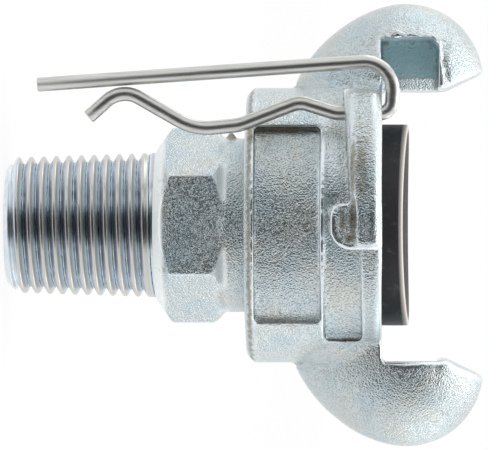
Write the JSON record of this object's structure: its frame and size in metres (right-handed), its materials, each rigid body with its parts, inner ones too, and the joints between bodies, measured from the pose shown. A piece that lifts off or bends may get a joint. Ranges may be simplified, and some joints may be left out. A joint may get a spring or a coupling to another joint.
{
  "type": "claw hose coupling",
  "caption": "Twist-claw air hose coupling half with male pipe thread, spanner hexagon, rubber face seal and a spring-wire safety clip.",
  "frame": {"origin": "centre of the threaded shank's end face, on which the coupling stands", "axes": "+Z along the coupling's axis from the threaded end to the claws; the claws lie towards +X and -X, and the lugs with the clip holes towards -Y and +Y; the clip hangs from the lug on the -Y side"},
  "size_m": [0.0636, 0.051, 0.0683],
  "materials": {
    "zinc_plated_iron": "bright zinc plating over a cast skin, with a pale blue passivation",
    "black_rubber": "moulded, satin",
    "bright_spring_steel": "drawn wire, zinc plated, bright"
  },
  "bodies": {
    "coupling": {"coupling_body": "zinc_plated_iron", "rubber_seal": "black_rubber"},
    "clip": {"safety_clip": "bright_spring_steel"}
  },
  "joints": [
    {"name": "clip_swing", "type": "hinge", "parent": "coupling", "child": "clip", "pos_m": [-0.01534, -0.01534, 0.0512], "axis": [0, 0, 1], "range_deg": [-28, 96]}
  ]
}
